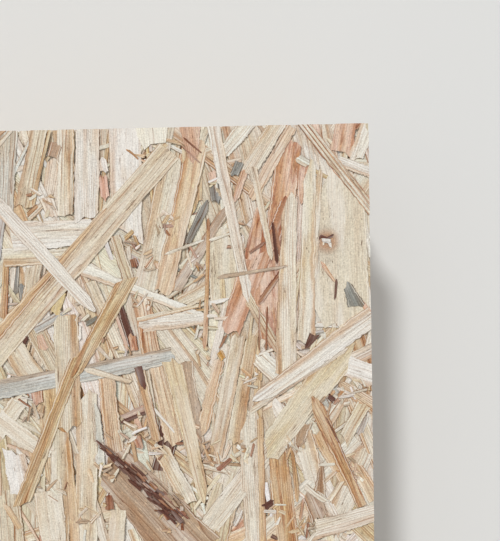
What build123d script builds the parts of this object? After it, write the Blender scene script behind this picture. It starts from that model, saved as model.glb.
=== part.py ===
"""A low stack of oriented strand board panels, lying flat on each other on level ground.

Each panel is one pressed board, sawn square to a stock sheet size, so it is one solid. The panels
rest face to face. Nobody stacks sheets quite true, so each one has slipped and turned a little on
the one below. Millimetres, +Z up, +Y along the panels' length, which is the way that most of the
strands in their faces run. The origin is on the ground, under the middle of the stack.
"""

import os

from build123d import *

# One panel, a 4 ft by 8 ft sheet
PANEL_WIDTH = 1220.0
PANEL_LENGTH = 2440.0
PANEL_THICKNESS = 18.0

# The saw leaves sharp edges, and handling rubs their arrises down by this much
ARRIS = 0.6

# The stack, and the most that a panel in it has slipped and turned
PANEL_COUNT = 6
SLIP_SIDEWAYS = 2.0
SLIP_ENDWAYS = 2.6
TURN_DEGREES = 0.05

# Each panel's share of those, sideways, endways and turned, from the ground up. A stack of more
# panels goes through the list again.
SHARES_OF_SLIP = [
    (0.0, 0.0, 0.0),
    (0.9, -0.7, 0.8),
    (-0.6, 0.8, -0.5),
    (0.3, -1.0, -0.9),
    (-1.0, 0.4, 0.6),
    (0.5, 0.6, -0.2),
]


def sawn_panel():
    """One panel, its underside on the ground, with all twelve arrises rubbed down."""
    seat = (Align.CENTER, Align.CENTER, Align.MIN)
    board = Box(PANEL_WIDTH, PANEL_LENGTH, PANEL_THICKNESS, align=seat)
    return chamfer(board.edges(), ARRIS)


def lie_at(level):
    """The place of the panel at this level, where level 0 is on the ground."""
    sideways, endways, turned = SHARES_OF_SLIP[level % len(SHARES_OF_SLIP)]
    place = (sideways * SLIP_SIDEWAYS, endways * SLIP_ENDWAYS, level * PANEL_THICKNESS)
    return Location(place, (0, 0, turned * TURN_DEGREES))


def stacked_panels():
    """Every panel in its place, with the origin under the middle of the whole stack."""
    panel = sawn_panel()
    panels = [lie_at(level) * panel for level in range(PANEL_COUNT)]
    middle = Compound(panels).bounding_box().center()
    return [Pos(-middle.X, -middle.Y, 0) * lying for lying in panels]


def main():
    os.makedirs("parts", exist_ok=True)
    for number, panel in enumerate(stacked_panels(), start=1):
        export_step(panel, f"parts/panel_{number}.step")


main()
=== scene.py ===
"""The looks of a low stack of oriented strand board panels, seen from above one of its corners.

Lengths are in millimetres, and MM turns them into the scene's metres. A strand's place on the top
face is given from the panel's far right corner: so far left of it, and so far down from it.
"""

import math

import bmesh
import bpy
import numpy as np
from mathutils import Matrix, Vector


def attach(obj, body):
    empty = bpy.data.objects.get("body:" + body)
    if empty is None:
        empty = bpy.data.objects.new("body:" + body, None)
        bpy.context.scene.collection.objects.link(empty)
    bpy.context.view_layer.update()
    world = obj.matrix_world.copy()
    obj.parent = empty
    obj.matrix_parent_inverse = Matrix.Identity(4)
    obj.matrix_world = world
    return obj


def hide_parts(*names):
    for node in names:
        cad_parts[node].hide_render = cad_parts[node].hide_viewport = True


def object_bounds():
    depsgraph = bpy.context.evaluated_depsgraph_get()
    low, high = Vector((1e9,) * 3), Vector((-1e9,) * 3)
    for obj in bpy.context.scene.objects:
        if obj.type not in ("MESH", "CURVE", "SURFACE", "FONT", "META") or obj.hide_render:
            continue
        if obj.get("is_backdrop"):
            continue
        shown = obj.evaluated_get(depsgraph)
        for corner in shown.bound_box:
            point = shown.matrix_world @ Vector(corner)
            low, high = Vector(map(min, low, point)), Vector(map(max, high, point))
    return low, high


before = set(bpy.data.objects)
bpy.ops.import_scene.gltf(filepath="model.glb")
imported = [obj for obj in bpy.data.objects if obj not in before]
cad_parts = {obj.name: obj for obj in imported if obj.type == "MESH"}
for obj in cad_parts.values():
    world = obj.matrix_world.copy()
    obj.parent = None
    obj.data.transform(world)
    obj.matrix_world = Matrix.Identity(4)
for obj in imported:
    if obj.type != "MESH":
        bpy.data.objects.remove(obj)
cad_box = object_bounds()

MM = 0.001

# Where each panel lies
# A panel is one pressed board, sawn square to a full sheet. The panels of a stack have slipped and
# turned a little on each other, so each one's place is read from its solid in the frame.


class PanelPlace:
    """Where a panel lies: the middle of its underside, its turn, and its three sizes."""

    def __init__(self, name):
        corners = [vertex.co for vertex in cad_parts[name].data.vertices]
        corners = np.unique(np.round(np.array(corners) / MM, 3), axis=0)
        middle = corners.mean(0)
        lengthways = np.linalg.eigh(np.cov((corners - middle)[:, :2].T))[1][:, 1]
        lengthways *= np.sign(lengthways[1])
        self.lengthways = lengthways
        self.sideways = np.array([lengthways[1], -lengthways[0]])
        self.middle = middle[:2]
        self.underside = corners[:, 2].min()
        self.thickness = np.ptp(corners[:, 2])
        self.width = np.ptp(corners[:, :2] @ self.sideways)
        self.length = np.ptp(corners[:, :2] @ self.lengthways)

    def settle(self, points):
        """Points from the panel's own frame, in millimetres, as the scene's points in metres."""
        flat = self.middle + points[:, :1] * self.sideways + points[:, 1:2] * self.lengthways
        height = self.underside + points[:, 2:]
        return np.hstack([flat, height]) * MM


top_panel = PanelPlace("panel_6")

# The strands of the top face, one by one
# A panel's face is a mat of pine strands, flaked off the log along its grain, coated with resin and
# wax, and pressed flat while hot. An upper strand presses a lower one down where they cross.

# Each tone of the wood: its colour, how much its growth lines stand out, and how mottled it is
TONES = {
    "white": ("#F1EBE2", 0.40, 0.25),
    "cream": ("#ECE2D2", 0.50, 0.50),
    "sand": ("#E3D6C0", 0.60, 0.50),
    "beige": ("#E6DAC8", 0.12, 0.30),
    "honey": ("#E2CEAC", 0.90, 0.60),
    "caramel": ("#DDBE9A", 0.80, 0.70),
    "rust": ("#E5C3AE", 0.30, 0.90),
    "brick": ("#BC886E", 0.30, 0.90),
    "rosy": ("#E9D3B9", 1.10, 0.45),
    "taupe": ("#C1A993", 0.45, 0.40),
    "pearl": ("#DAD6CC", 0.80, 0.35),
    "grey": ("#CAC8C3", 0.90, 0.35),
    "slate": ("#93938F", 0.50, 0.35),
    "bark": ("#AE826A", 0.60, 0.90),
    "umber": ("#6B453A", 0.30, 0.80),
    "resin": ("#DEC48C", 0.20, 0.80),
    "amber": ("#CBA25F", 0.20, 0.80),
}

# How each kind of end is cut, in widths of the strand: how far it slants from one side to the
# other, how far its two corners fall short of its tip, and how jagged it is
ENDS = {
    "sawn": (0.06, 0.02, 0.05),
    "slant": (0.85, 0.00, 0.08),
    "counter": (-0.85, 0.00, 0.08),
    "point": (0.10, 1.30, 0.10),
    "torn": (0.25, 0.25, 0.22),
    "broken": (-0.30, 0.10, 0.14),
}

# The strands that show best at the far right corner, from the uppermost down. Each row gives the
# tone, where the strand starts, where it ends, its width at both, how its two ends are cut, and, on
# the one with a knot, where the knot lies along and across it, and the knot's radius.
UPPER_STRANDS = [
    ("caramel", (80.5, 45), (84, 111), 1.7, 2.6, "point", "point"),
    ("taupe", (77, 75), (41, 70), 2, 1.4, "point", "point"),
    ("cream", (36.2, -3), (-2, 46.8), 1.3, 1.4, "sawn", "sawn"),
    ("cream", (33.9, -3), (-2, 43.9), 1.4, 1.4, "sawn", "sawn"),
    ("cream", (31.5, -3), (-2, 40.9), 1.4, 1.5, "sawn", "sawn"),
    ("rust", (33.9, -3), (-2, 43.9), 5.4, 5.6, "sawn", "sawn"),
    ("white", (195, 25), (138.5, 91), 8, 6, "sawn", "point"),
    ("umber", (17, 77), (18, 87.5), 1.3, 1, "point", "point"),
    ("umber", (28, 103.4), (33.4, 112), 5.2, 1.6, "slant", "point"),
    ("umber", (56, 193), (50.5, 189), 3.8, 2.6, "torn", "point"),
    ("umber", (52.5, 207), (49, 209), 2, 1.4, "torn", "point"),
    ("umber", (22.5, 135.5), (19, 139), 2.4, 3, "torn", "broken"),
    ("caramel", (131, 39), (197, 111), 1.6, 6, "point", "sawn"),
    ("sand", (98.5, 11.5), (194, 116), 12, 13, "sawn", "sawn"),
    ("cream", (58, 20), (49.5, 67), 4, 2.4, "broken", "point"),
    ("white", (103, 63), (83, 56), 1.8, 1.2, "point", "point"),
    ("white", (80.5, 56.5), (69, 53), 1.8, 1, "point", "point"),
    ("white", (77, -2), (61, 88), 6.6, 4.6, "sawn", "point"),
    ("cream", (145, 119.5), (121, 127), 3, 2.2, "point", "slant"),
    ("caramel", (141, 103), (151, 124), 1.6, 2.4, "point", "point"),
    ("honey", (120, 72), (151, 124), 9, 6, "slant", "point"),
    ("umber", (135.5, 162), (104.5, 191), 3.4, 3.8, "point", "torn"),
    ("bark", (129.5, 164.5), (98, 198.5), 5, 7, "point", "torn"),
    ("honey", (147, 111), (179.5, 191), 6.2, 7.4, "slant", "counter"),
    ("caramel", (165, 150), (179.5, 186), 2, 3, "point", "torn"),
    ("white", (-2, 95), (60, 138.5), 11, 6.5, "sawn", "point"),
    ("cream", (12, 112), (62, 143), 2.4, 3.2, "point", "torn"),
    ("bark", (24, 146.5), (17, 160), 0.9, 0.8, "point", "point"),
    ("caramel", (30.5, 136), (6, 193), 7, 5.2, "point", "sawn"),
    ("honey", (101, 115), (85.5, 190), 11, 5, "broken", "point"),
    ("rust", (101.5, 124), (88, 172), 1.4, 1.2, "point", "point"),
    ("umber", (117.8, 119), (114.5, 131), 4.2, 2, "sawn", "point"),
    ("sand", (153.5, 92), (153, 152), 12, 12.5, "torn", "broken"),
    ("grey", (193, 130), (99, 113.5), 9, 8, "sawn", "broken"),
    ("caramel", (117.5, 117), (109, 157.5), 5.6, 4, "sawn", "torn"),
    ("rust", (120.6, 102), (119.2, 111), 3.6, 3.8, "point", "sawn"),
    ("umber", (127.5, 82), (120.6, 108), 3.2, 4.2, "point", "sawn"),
    ("rust", (129.8, 88), (122.5, 111), 1.8, 1.6, "point", "point"),
]

# Those that lie under them
LOWER_STRANDS = [
    ("cream", (39.5, 33), (43.5, 125), 7, 11, "point", "sawn"),
    ("sand", (10, 108), (55, 166), 16, 13, "point", "torn"),
    ("caramel", (154.5, 154), (152, 214), 3.4, 5, "point", "sawn"),
    ("taupe", (137, 165), (90.5, 218), 22, 33, "torn", "sawn"),
    ("white", (18, 17), (-2, 25), 5, 5, "point", "sawn"),
    ("white", (0, 0), (8, 20), 6.5, 8, "counter", "point"),
    ("rust", (10.5, -2), (13.5, 17.5), 10.5, 11.5, "sawn", "slant"),
    ("rust", (27, -2), (24.8, 6.5), 5, 1, "sawn", "point"),
    ("slate", (12.4, 78.6), (6.6, 92.5), 3.4, 9, "point", "torn"),
    ("rust", (4.6, 88.5), (-0.6, 97.5), 2.4, 3.2, "point", "sawn"),
    ("cream", (29.5, 17), (33, 110), 6, 9, "point", "torn"),
    ("white", (36, 16), (29, 20), 5, 4, "broken", "point"),
    ("rust", (31.5, 17), (34.5, 39.5), 9, 3, "broken", "point"),
    ("cream", (25, 22), (30, 84), 4, 6, "point", "point"),
    ("umber", (26, 57.4), (24.2, 55.2), 0.9, 1.2, "point", "torn"),
    ("umber", (24.6, 55.4), (21.2, 56.5), 1.5, 0.9, "torn", "torn"),
    ("umber", (21.6, 56.6), (18, 55), 1, 1.7, "torn", "point"),
    ("white", (26.4, 60.6), (25.2, 57.2), 0.8, 1.5, "point", "torn"),
    ("white", (24.4, 57.4), (19.2, 58.4), 1.8, 2.6, "torn", "torn"),
    ("white", (23.2, 58), (23.5, 60.2), 1.3, 0.9, "torn", "point"),
    ("white", (20.2, 58.6), (19.5, 61.6), 2, 0.8, "torn", "point"),
    ("rust", (25, 68), (17.2, 79.5), 2.4, 1, "point", "point"),
    ("beige", (15.5, 20), (15, 106), 26, 28, "point", "torn", (-5, 6, 5)),
    ("cream", (84, 88.5), (117.5, 95.5), 2, 2.6, "point", "broken"),
    ("white", (71, 86), (84, 88.5), 1.8, 2.2, "point", "sawn"),
    ("white", (146, 69), (88, 92.5), 6.4, 3.4, "torn", "point"),
    ("caramel", (56.8, 146), (56.6, 214), 3, 3.4, "torn", "sawn"),
    ("cream", (62, 139), (60, 214), 11, 10.6, "point", "sawn"),
    ("cream", (43, 149), (89, 208), 10, 11, "point", "sawn"),
    ("taupe", (34, 148), (39, 165), 8.5, 3.6, "slant", "point"),
    ("taupe", (26, 170), (27.4, 188), 2, 6.5, "point", "slant"),
    ("caramel", (41, 163), (38.4, 190), 1.6, 2.6, "point", "point"),
    ("cream", (34.5, 182), (23.5, 190.5), 2.8, 2.4, "sawn", "slant"),
    ("cream", (15.5, 179), (22.5, 189.5), 2.6, 2.8, "slant", "sawn"),
    ("rust", (35.8, 188), (37.6, 199.5), 1.2, 1.6, "point", "point"),
    ("caramel", (27, 153), (13, 182), 10, 6, "broken", "point"),
    ("rosy", (10, 169), (-1, 190), 5, 8, "point", "sawn"),
    ("taupe", (33, 184), (27, 200), 8, 9.5, "torn", "broken"),
    ("caramel", (49, 156), (44, 214), 10, 11, "torn", "sawn"),
    ("caramel", (184, 2), (178, -2), 1.8, 1.4, "sawn", "sawn"),
    ("cream", (190, 14), (176.5, -1), 2.4, 1.8, "sawn", "sawn"),
    ("honey", (157.8, -1), (168.2, 38), 1.4, 2, "sawn", "point"),
    ("sand", (163, -2), (172.5, 39), 8, 9.5, "sawn", "broken"),
    ("taupe", (154.6, 6), (157.6, 15), 6, 6, "broken", "slant"),
    ("cream", (161.5, 33), (157.5, 44), 7, 5, "broken", "torn"),
    ("pearl", (178.5, -2), (182, 44), 9, 8, "sawn", "torn"),
    ("cream", (170.5, 43.5), (157.5, 31.5), 3.4, 3.2, "sawn", "point"),
    ("cream", (147.6, 12), (149, 42), 1.2, 1.6, "point", "sawn"),
    ("cream", (150.5, -2), (152, 43), 8, 8, "sawn", "broken"),
    ("white", (139.5, -2), (141.5, 47), 12, 12, "sawn", "broken"),
    ("rust", (132.5, 22.5), (131.4, 36), 4, 4.6, "torn", "point"),
    ("umber", (109, 13.5), (104.5, 11.5), 1.2, 0.8, "point", "point"),
    ("white", (108, -3), (107, 10.5), 18, 10, "sawn", "counter"),
    ("bark", (92, 5), (83, 13), 0.9, 0.7, "point", "point"),
    ("bark", (93, 9), (84, 18), 0.9, 0.7, "point", "point"),
    ("rust", (89, -2), (86.8, 18), 12, 4, "sawn", "point"),
    ("rosy", (84.5, 6), (104.5, 83), 10, 9, "point", "torn"),
    ("caramel", (88.5, 20), (104, 78), 1.8, 2, "point", "point"),
    ("taupe", (71, 39.5), (99, 82), 4.4, 6, "point", "broken"),
    ("slate", (80.6, 36), (91.5, 58), 4.6, 3.2, "point", "broken"),
    ("slate", (77.6, 27), (75.8, 38.5), 4.6, 5.4, "sawn", "torn"),
    ("rust", (78.6, 21.5), (77.6, 27.5), 3.4, 3.4, "torn", "sawn"),
    ("slate", (64.4, 17.6), (68, 25), 4.4, 4, "sawn", "point"),
    ("white", (59, -2), (73, 14), 8, 6, "sawn", "torn"),
    ("cream", (44, -2), (61, 24), 8, 8, "sawn", "torn"),
    ("rosy", (38, 1), (59, 37), 5, 6, "sawn", "torn"),
    ("rust", (61, 20), (67.5, 38), 3.6, 3, "slant", "point"),
    ("umber", (48.6, 48), (46.6, 69), 1.2, 2, "point", "point"),
    ("bark", (47.2, 51), (44.8, 66), 1.2, 1.7, "point", "point"),
    ("brick", (41.5, 35), (49.5, 60), 4.5, 8.5, "point", "torn"),
    ("bark", (52.5, 58), (60.5, 63), 1.6, 1, "point", "torn"),
    ("bark", (43.4, 71), (56.6, 89), 2, 3.2, "point", "point"),
    ("bark", (52, 90), (53, 112), 0.8, 0.9, "point", "point"),
    ("bark", (56, 90), (56.6, 112), 0.7, 0.8, "point", "point"),
    ("sand", (63, 83.5), (46.5, 113), 5, 4.4, "slant", "torn"),
    ("rust", (55, 59), (71.5, 104), 15, 9, "slant", "torn"),
    ("rust", (52.5, 68), (50, 112), 16, 10, "sawn", "torn"),
    ("rust", (38.5, 5), (48.5, 72), 12, 12, "broken", "torn"),
    ("rust", (54, 38), (58.4, 73), 4, 13, "point", "sawn"),
    ("bark", (71.8, 59.8), (69.4, 60), 1.7, 1.5, "broken", "broken"),
    ("honey", (74.5, 74), (74, 88), 2.6, 2.4, "point", "point"),
    ("beige", (75, 49), (73.4, 93), 14, 15, "point", "torn"),
    ("bark", (118.8, 64.6), (117.6, 69.8), 3.4, 3.6, "sawn", "point"),
    ("cream", (97.5, 14), (114, 84), 11, 12, "point", "torn"),
    ("sand", (127.5, 53), (120.5, 78), 5, 6, "sawn", "torn"),
    ("white", (143, 66), (131.5, 76), 3, 8, "point", "torn"),
    ("white", (121, -2), (120.5, 58), 17, 14, "sawn", "slant"),
    ("white", (133, 14), (131.5, 22), 4, 4, "torn", "torn"),
    ("white", (180, 53), (136, 50), 15, 12, "sawn", "torn"),
    ("cream", (184, 63), (138, 62), 9, 6, "sawn", "point"),
    ("cream", (96, 88), (79, 79.5), 7, 8, "torn", "slant"),
    ("white", (117, 98), (82, 94.5), 8, 8, "torn", "broken"),
    ("rosy", (116, 78), (110.5, 114), 9, 9, "torn", "sawn"),
    ("umber", (127.6, 147.4), (109, 140.6), 1.9, 1.5, "point", "point"),
    ("bark", (126.5, 146), (112, 139.5), 4.6, 4.4, "torn", "sawn"),
    ("rust", (119.4, 144), (118.4, 153), 3, 4, "sawn", "broken"),
    ("brick", (119.6, 154), (117.4, 161.5), 4.6, 3.2, "broken", "point"),
    ("rosy", (133.6, 120), (130.6, 164), 8.4, 8.6, "sawn", "torn"),
    ("rust", (169.4, 129), (168.4, 138), 6, 5, "sawn", "broken"),
    ("rosy", (168.4, 138), (167, 143), 5, 3, "sawn", "point"),
    ("rust", (166.8, 102), (164.6, 110), 3, 4.4, "sawn", "torn"),
    ("grey", (170, 100), (153, 91), 4.6, 5, "torn", "broken"),
    ("resin", (155, 78), (159, 92), 7, 4, "point", "torn"),
    ("amber", (77, 112), (74.6, 116.5), 3.6, 3, "torn", "broken"),
    ("sand", (66.5, 104), (80, 166), 7, 7.4, "torn", "torn"),
    ("bark", (71.4, 136), (72.6, 142), 1.4, 1, "point", "point"),
    ("sand", (60, 104), (70, 160), 6.4, 8, "torn", "torn"),
    ("rosy", (76.5, 116), (87, 155), 5.6, 6, "torn", "point"),
    ("taupe", (95, 117), (89.5, 165), 10, 9, "torn", "torn"),
    ("white", (110.4, 140.5), (100, 153), 1.6, 1.2, "point", "point"),
    ("rosy", (108, 117), (100, 160), 9, 9, "sawn", "torn"),
    ("white", (106, 141), (99, 156), 7, 5, "point", "torn"),
    ("white", (60, 112), (40, 132), 9, 10, "point", "slant"),
    ("sand", (66, 166), (79.5, 212), 8, 9, "point", "sawn"),
    ("bark", (79, 173), (70.5, 166), 2.6, 1.6, "torn", "point"),
    ("cream", (108, 160), (93, 190), 9, 8, "torn", "torn"),
    ("sand", (76, 180), (88, 214), 10, 11, "point", "sawn"),
    ("cream", (4, 140), (16, 161), 7.5, 6.5, "torn", "slant"),
    ("rosy", (16, 130), (-2, 143), 5, 8, "point", "sawn"),
    ("white", (22, 117), (-2, 127), 9, 12, "point", "sawn"),
    ("grey", (19, 132), (14, 137), 5, 3, "torn", "torn"),
    ("grey", (29, 128), (22, 142), 5, 5, "torn", "torn"),
    ("cream", (37, 148), (29, 184), 9, 10, "point", "slant"),
    ("grey", (4, 146), (8, 156), 5, 5, "torn", "point"),
    ("cream", (12, 130), (30, 156), 10, 11, "torn", "slant"),
    ("cream", (-2, 196), (34, 206), 9, 10, "sawn", "torn"),
    ("cream", (3, 163), (20, 200), 9, 12, "torn", "slant"),
    ("cream", (190, 143), (163, 164), 9, 8, "sawn", "torn"),
    ("cream", (176, 132), (190, 152), 9, 8, "torn", "sawn"),
    ("caramel", (187.5, 187), (180, 201), 2.6, 3.4, "point", "torn"),
    ("caramel", (173.4, 160), (172, 166.5), 2.4, 3.4, "point", "broken"),
    ("cream", (166, 176), (163, 208), 14, 13, "slant", "sawn"),
    ("white", (182, 158), (178, 184), 11, 12, "counter", "torn"),
    ("rust", (169, 203), (165, 214), 4.4, 5, "torn", "sawn"),
    ("sand", (186, 176), (184, 214), 13, 14, "torn", "sawn"),
    ("caramel", (181.6, 60), (184.6, 94), 2.8, 3.4, "point", "torn"),
    ("sand", (168, 66), (172.5, 90), 8, 7, "torn", "point"),
    ("slate", (175.4, 76), (174, 89), 4, 3, "torn", "point"),
    ("pearl", (139.8, 137), (138.6, 170), 3.5, 5.5, "point", "torn"),
    ("cream", (143.5, 130), (146.5, 214), 10, 12, "torn", "sawn"),
    ("sand", (158, 150), (161, 214), 9, 10, "torn", "sawn"),
    ("sand", (149.5, 140), (147.4, 180), 2.6, 2.6, "point", "torn"),
    ("bark", (135, 183.5), (134, 192), 3, 4.6, "point", "sawn"),
    ("sand", (129, 176), (132, 214), 9, 8, "point", "sawn"),
    ("sand", (190, 92), (168, 128), 11, 12, "sawn", "slant"),
    ("sand", (172, 92), (158, 122), 10, 9, "slant", "torn"),
]


def linear(colour):
    """An sRGB hex colour as three linear numbers."""
    shares = [int(colour[at : at + 2], 16) / 255 for at in (1, 3, 5)]
    return [c / 12.92 if c <= 0.04045 else ((c + 0.055) / 1.055) ** 2.4 for c in shares]


class Mat:
    """The mat of strands on a panel's face, laid from the uppermost strand down.

    A grid of cells keeps what the strands cover and how low their undersides reach, so that a
    strand that wouldn't show is left out, and one that goes under another is pressed down by it.
    """

    CELL = 1.0
    END_POINTS = 6
    MOST_CUT = 0.19
    DEEPEST = -1.6

    def __init__(self, width, length):
        self.width = width
        self.length = length
        shape = (round(length / self.CELL), round(width / self.CELL))
        self.covered = np.zeros(shape, bool)
        self.underside = np.zeros(shape)
        self.strands = []

    def end_cut(self, slant, corners, jags):
        """How far each point across an end falls short of it, in widths of the strand."""
        side = np.linspace(-1, 1, self.END_POINTS)
        tip = draws.uniform(-0.4, 0.4)
        cut = slant * side / 2 + corners * np.abs(side - tip) ** 1.3
        cut += draws.uniform(-jags, jags, self.END_POINTS)
        return cut - cut.min()

    def lay(
        self, tone, middle, turn, length, widths, ends, thickness,
        knot=(0, 0, 0), stations=5, least_seen=0.0,
    ):
        """Lays a strand, unless too little of it would show, in square millimetres."""
        short = [self.end_cut(*ENDS[end]) * width for end, width in zip(ends, widths)]
        short = [np.minimum(points, self.MOST_CUT * length) for points in short]
        across = np.array([math.cos(turn), math.sin(turn)])
        along = np.array([-math.sin(turn), math.cos(turn)])
        reach = np.abs(along) * length / 2 + np.abs(across) * max(widths) / 2
        start = np.array([self.width, self.length]) / 2 + middle
        low = np.maximum(np.floor((start - reach) / self.CELL).astype(int), 0)
        high = np.ceil((start + reach) / self.CELL).astype(int)
        patch = np.s_[low[1] : max(high[1], 0), low[0] : max(high[0], 0)]
        covered = self.covered[patch]
        if covered.size == 0:
            return
        x = (np.arange(covered.shape[1]) + low[0] + 0.5) * self.CELL - start[0]
        y = (np.arange(covered.shape[0]) + low[1] + 0.5)[:, None] * self.CELL - start[1]
        a = x * across[0] + y * across[1]
        b = x * along[0] + y * along[1]
        share = b / length + 0.5
        wide = widths[0] + (widths[1] - widths[0]) * share
        side = a / wide
        inside = np.abs(side) <= 0.5
        points = np.linspace(-0.5, 0.5, self.END_POINTS)
        inside &= b >= np.interp(side, points, short[0]) - length / 2
        inside &= b <= length / 2 - np.interp(side, points, short[1])
        seen = (inside & ~covered).sum() * self.CELL**2
        if seen < least_seen or not inside.any():
            return
        underside = self.underside[patch]
        station = np.rint(share[inside] * (stations - 1)).astype(int)
        count = np.bincount(station, minlength=stations)
        total = np.bincount(station, underside[inside], minlength=stations)
        lowest = np.zeros(stations)
        np.minimum.at(lowest, station, underside[inside])
        mean = total.sum() / count.sum()
        height = np.where(count > 0, 0.5 * total / np.maximum(count, 1) + 0.5 * lowest, mean)
        padded = np.pad(height, 1, mode="edge")
        height = np.minimum(height, 0.4 * height + 0.3 * (padded[:-2] + padded[2:]))
        height = np.maximum(height, self.DEEPEST + draws.uniform(0, 0.12))
        lowered = np.interp(share, np.linspace(0, 1, stations), height) - thickness
        underside[inside] = np.minimum(underside, lowered)[inside]
        covered |= inside
        self.strands.append((tone, middle, turn, length, widths, short, thickness, height, knot))


draws = np.random.default_rng(18)
mat = Mat(top_panel.width, top_panel.length)

THINNEST = 0.14
THICKEST = 0.36
FINE_STATIONS = 13


def from_corner(spot):
    """A place given from the far right corner, left and down, as seen from the panel's middle."""
    return np.array([mat.width, mat.length]) / 2 - spot


def lay_between(tone, start, end, widths, ends, *knot):
    """Lays a strand whose two ends are known."""
    start = from_corner(start)
    end = from_corner(end)
    run = end - start
    thickness = draws.uniform(THINNEST, THICKEST)
    turn = math.atan2(-run[0], run[1])
    length = np.linalg.norm(run)
    mat.lay(tone, (start + end) / 2, turn, length, widths, ends, thickness, *knot, stations=FINE_STATIONS)


# Torn bark along one side of a broad strand: splinters, darkest along the middle and the lower side
BARK_FROM = np.array([137.0, 159.5])
BARK_TO = np.array([98.5, 195.5])
BARK_HALF_WIDE = 4.6
BARK_SPLINTERS = 170
bark_run = BARK_TO - BARK_FROM
bark_side = np.array([-bark_run[1], bark_run[0]]) / np.linalg.norm(bark_run)
for _ in range(BARK_SPLINTERS):
    share = draws.uniform(0, 1)
    off = draws.normal(0, 0.5)
    half_wide = BARK_HALF_WIDE * min(1.0, 0.12 + 1.6 * share)
    length = draws.uniform(3.0, 11.0)
    spot = BARK_FROM + bark_run * share + bark_side * off * half_wide
    lean = bark_run / np.linalg.norm(bark_run) * length / 2 + bark_side * draws.normal(0, 0.04) * length
    darkness = off + 0.5 * share + draws.normal(0, 0.25)
    tone = "umber" if darkness < 0.45 else "bark" if darkness < 1.0 else "taupe"
    lay_between(tone, spot - lean, spot + lean, draws.uniform(0.5, 1.8, 2), ("point", "torn"))

for tone, start, end, width_1, width_2, end_1, end_2, *knot in UPPER_STRANDS:
    lay_between(tone, start, end, (width_1, width_2), (end_1, end_2), *knot)

# Crumbs: bits broken off the strands, which gather in the gaps between the upper ones. Each row
# gives the place of a handful, left and down, and how far it reaches.
CRUMB_TONES = ("white", "white", "cream", "cream", "sand", "honey", "rosy", "caramel", "taupe", "bark")
CRUMB_ENDS = ("point", "torn", "broken", "slant")
CRUMBS_EACH = 9
for left, down, reach in (
    (109, 66, 4), (119, 56, 3), (162, 36, 5), (110, 17, 4), (103, 46, 5), (115, 86, 4), (122, 153, 6),
    (170, 141, 6), (110, 164, 4), (139, 172, 4), (163, 176, 6), (114, 148, 5), (85, 112, 7), (61, 126, 4),
    (42, 161, 4), (78, 166, 4), (16, 138, 5), (50, 193, 4), (12, 174, 6), (66, 162, 4), (35, 204, 4),
    (88, 69, 4), (77, 29, 4), (83, 93, 5), (150, 92, 5), (135, 100, 5), (176, 128, 5),
    (8, 132, 4), (101, 196, 5), (143, 196, 5), (66, 50, 3), (124, 112, 5), (92, 160, 5),
):
    for _ in range(CRUMBS_EACH):
        spot = np.array([left, down]) + draws.normal(0, 0.8, 2) * reach
        lean = draws.normal(0, 1, 2)
        lean *= draws.uniform(1.0, 4.5) / np.linalg.norm(lean)
        tone = draws.choice(CRUMB_TONES)
        lay_between(tone, spot - lean, spot + lean, draws.uniform(0.5, 2.2, 2), draws.choice(CRUMB_ENDS, 2))

for tone, start, end, width_1, width_2, end_1, end_2, *knot in LOWER_STRANDS:
    lay_between(tone, start, end, (width_1, width_2), (end_1, end_2), *knot)

# The rest of the mat: how common each tone and each kind of end is, and how long and wide strands
# are. Dark ones are small. A width is drawn from between two neighbours of WIDTHS.
TONE_SHARES = {
    "white": 0.17,
    "cream": 0.40,
    "sand": 0.17,
    "honey": 0.09,
    "caramel": 0.04,
    "rust": 0.025,
    "rosy": 0.045,
    "taupe": 0.02,
    "grey": 0.02,
    "slate": 0.007,
    "bark": 0.007,
    "umber": 0.006,
}
TONE_ODDS = np.array(list(TONE_SHARES.values())) / sum(TONE_SHARES.values())
DARK_TONES = ("umber", "slate", "bark")
END_SHARES = {"sawn": 0.18, "slant": 0.2, "counter": 0.2, "point": 0.22, "torn": 0.1, "broken": 0.1}
USUAL_LENGTH = 92.0
LENGTH_SPREAD = 0.34
SHORTEST = 28.0
LONGEST = 165.0
TURN_SPREAD = math.radians(31)
NARROW_SHARE = 0.24
MIDDLING_SHARE = 0.54
WIDTHS = (1.8, 5.0, 12.5, 26.0)
BROAD_LENGTH = 60.0
MOST_TAPER = 0.62
STRAY_SHARE = 0.07
KNOT_SHARE = 0.06


def draw_strand(spot, shift):
    """A strand of the usual make, somewhere along and across which lies the given spot."""
    tone = draws.choice(list(TONE_SHARES), p=TONE_ODDS)
    turn = draws.normal(0, TURN_SPREAD)
    if draws.random() < STRAY_SHARE:
        turn = draws.uniform(-math.pi / 2, math.pi / 2)
    length = np.clip(USUAL_LENGTH * np.exp(draws.normal(0, LENGTH_SPREAD)), SHORTEST, LONGEST)
    kind = np.searchsorted((NARROW_SHARE, NARROW_SHARE + MIDDLING_SHARE), draws.random(), side="right")
    width = draws.uniform(*WIDTHS[kind : kind + 2])
    if width > WIDTHS[2]:
        length = max(length, BROAD_LENGTH)
    if tone in DARK_TONES:
        width *= 0.5
        length *= 0.5
    taper = draws.uniform(MOST_TAPER, 1.0)
    widths = (width, width * taper) if draws.random() < 0.5 else (width * taper, width)
    ends = draws.choice(list(END_SHARES), 2, p=list(END_SHARES.values()))
    along = np.array([-math.sin(turn), math.cos(turn)])
    across = np.array([math.cos(turn), math.sin(turn)])
    slide = along * length * draws.uniform(-shift, shift) + across * width * draws.uniform(-shift, shift)
    knot = (0, 0, 0)
    if width > WIDTHS[2] and draws.random() < KNOT_SHARE:
        knot = (draws.uniform(-0.3, 0.3) * length, draws.uniform(-0.3, 0.3) * width, draws.uniform(1.5, 4))
    return tone, spot + slide, turn, length, widths, ends, draws.uniform(THINNEST, THICKEST), knot


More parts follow.
